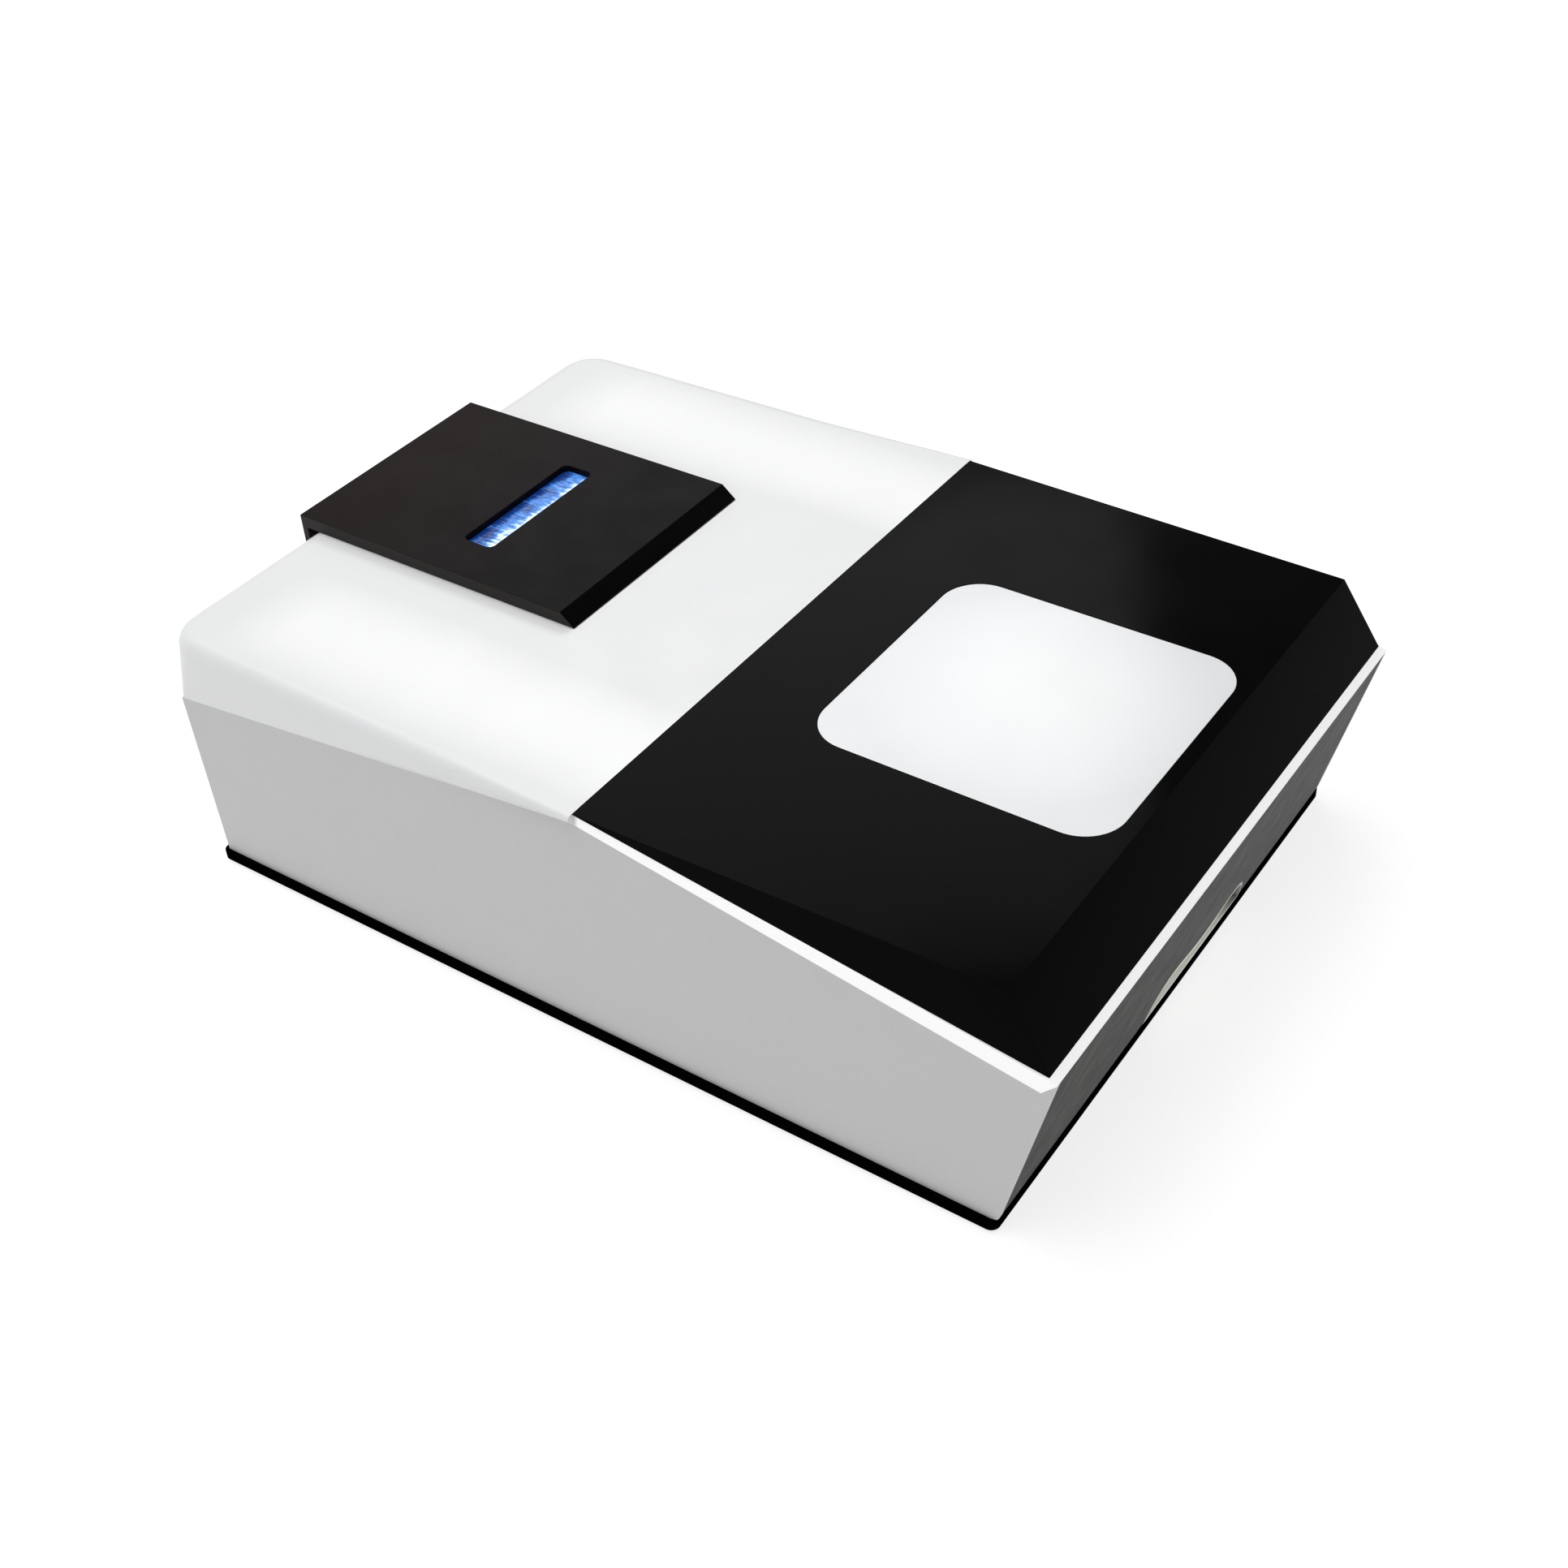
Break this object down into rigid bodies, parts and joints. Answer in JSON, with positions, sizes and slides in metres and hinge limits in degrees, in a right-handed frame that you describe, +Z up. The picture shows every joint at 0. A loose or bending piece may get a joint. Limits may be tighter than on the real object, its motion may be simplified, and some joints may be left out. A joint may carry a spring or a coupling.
{
  "type": "spectrophotometer",
  "caption": "Bench spectrophotometer with a faceted control panel, a rear-hinged sample lid with a lit slot, a four-cell changer and a scanning grating inside.",
  "frame": {"origin": "under the middle of the whole object, on the surface its feet stand on", "axes": "+X to the user's right, +Y from the control panel to the rear, +Z up"},
  "size_m": [0.3068, 0.4474, 0.132],
  "materials": {
    "white_plastic": "satin moulded, soft sheen",
    "light_grey_paint": "fine matt powder coat",
    "dark_grey_paint": "fine matt powder coat",
    "rear_grey_paint": "fine matt powder coat",
    "black_tray_paint": "matt powder coat",
    "foot_rubber": "matt rubber",
    "pale_plastic": "satin moulded",
    "black_glass": "polished black acrylic",
    "display_white": "blank pale screen cover",
    "display_dark": "matt",
    "zinc_steel": "zinc plated",
    "lid_black": "fine matt",
    "slot_blue": "translucent, lit from below",
    "circuit_board": "solder resist",
    "well_black": "matt light-absorbing",
    "seal_rubber": "soft foam rubber",
    "hinge_black": "black coated",
    "polished_steel": "ground steel",
    "quartz": "clear",
    "anodised_black": "black anodised",
    "gear_nylon": "nylon",
    "motor_steel": "turned steel",
    "bench_aluminium": "milled",
    "brass": "turned",
    "lamp_glass": "clear envelope on a ceramic base",
    "mirror_coat": "front coated",
    "grating_coat": "ruled",
    "filter_glass": "tinted",
    "fan_plastic": "matt",
    "socket_metal": "nickel plated",
    "inlet_plastic": "matt"
  },
  "bodies": {
    "chassis": {"upper_shell": "white_plastic", "left_side_panel": "light_grey_paint", "right_side_panel": "light_grey_paint", "front_panel": "dark_grey_paint", "rear_panel": "rear_grey_paint", "base_tray": "black_tray_paint", "rubber_feet": "foot_rubber", "front_pull_cup": "pale_plastic", "glass_panel": "black_glass", "display_window": "display_white", "display_module": "display_dark", "display_bracket": "zinc_steel", "changer_bracket": "zinc_steel", "detector_bracket": "zinc_steel", "lamp_housing": "zinc_steel", "power_supply": "zinc_steel", "case_screws": "zinc_steel", "main_board": "circuit_board", "detector_board": "circuit_board", "compartment_liner": "well_black", "hinge_brackets": "hinge_black", "hinge_pins": "polished_steel", "guide_rods": "polished_steel", "compartment_windows": "quartz", "entrance_slit": "anodised_black", "exit_slit": "anodised_black", "changer_motor": "motor_steel", "source_motor": "motor_steel", "filter_motor": "motor_steel", "grating_motor": "motor_steel", "optical_bench": "bench_aluminium", "grating_bearing": "brass", "board_standoffs": "brass", "tungsten_lamp": "lamp_glass", "deuterium_lamp": "lamp_glass", "collimator_mirror": "mirror_coat", "focusing_mirror": "mirror_coat", "fold_mirror": "mirror_coat", "fan_frame": "fan_plastic", "rear_sockets": "socket_metal", "power_inlet": "inlet_plastic", "switch_housing": "inlet_plastic"},
    "lid": {"lid_cover": "lid_black", "lid_slot_lens": "slot_blue", "lid_light_strip": "circuit_board", "lid_liner": "well_black", "lid_gasket": "seal_rubber", "lid_hinge_arms": "hinge_black"},
    "carriage": {"cell_carriage": "anodised_black", "carriage_rack": "gear_nylon"},
    "changer_gear": {"changer_pinion": "gear_nylon"},
    "turntable": {"grating_table": "anodised_black", "grating": "grating_coat"},
    "grating_gear": {"grating_pinion": "gear_nylon"},
    "filters": {"filter_wheel": "anodised_black", "optical_filters": "filter_glass"},
    "flip_mirror": {"source_mirror": "mirror_coat"},
    "fan": {"fan_rotor": "fan_plastic"},
    "rocker": {"power_rocker": "inlet_plastic"}
  },
  "joints": [
    {"name": "lid_hinge", "type": "hinge", "parent": "chassis", "child": "lid", "pos_m": [0.00625, 0.2195, 0.11], "axis": [-1, 0, 0], "range_deg": [0, 85]},
    {"name": "cell_changer_slide", "type": "slide", "parent": "chassis", "child": "carriage", "axis": [0, 1, 0], "range_m": [0, 0.045]},
    {"name": "changer_pinion_turn", "type": "hinge", "parent": "chassis", "child": "changer_gear", "pos_m": [0.006, 0.1363, 0.029], "axis": [1, 0, 0], "range_deg": [-324, 2]},
    {"name": "grating_turn", "type": "hinge", "parent": "chassis", "child": "turntable", "pos_m": [-0.095, -0.0527, 0.03], "axis": [0, 0, 1], "range_deg": [-30, 30]},
    {"name": "grating_pinion_turn", "type": "hinge", "parent": "chassis", "child": "grating_gear", "pos_m": [-0.095, -0.0227, 0.03], "axis": [0, 0, 1], "range_deg": [-121, 121]},
    {"name": "filter_wheel_turn", "type": "hinge", "parent": "chassis", "child": "filters", "pos_m": [-0.072, 0.1128, 0.06], "axis": [0, 1, 0], "continuous": true},
    {"name": "source_mirror_flip", "type": "hinge", "parent": "chassis", "child": "flip_mirror", "pos_m": [-0.07, 0.1653, 0.05], "axis": [0, 0, 1], "range_deg": [0, 45]},
    {"name": "fan_spin", "type": "hinge", "parent": "chassis", "child": "fan", "pos_m": [-0.11, 0.199, 0.063], "axis": [0, 1, 0], "continuous": true},
    {"name": "power_rocker_tip", "type": "hinge", "parent": "chassis", "child": "rocker", "pos_m": [0.078, 0.2049, 0.036], "axis": [-1, 0, 0], "range_deg": [0, 24]}
  ],
  "couplings": [
    {"joint": "changer_pinion_turn", "follows": "cell_changer_slide", "rad_per_m": -125},
    {"joint": "grating_pinion_turn", "follows": "grating_turn", "ratio": -4}
  ]
}
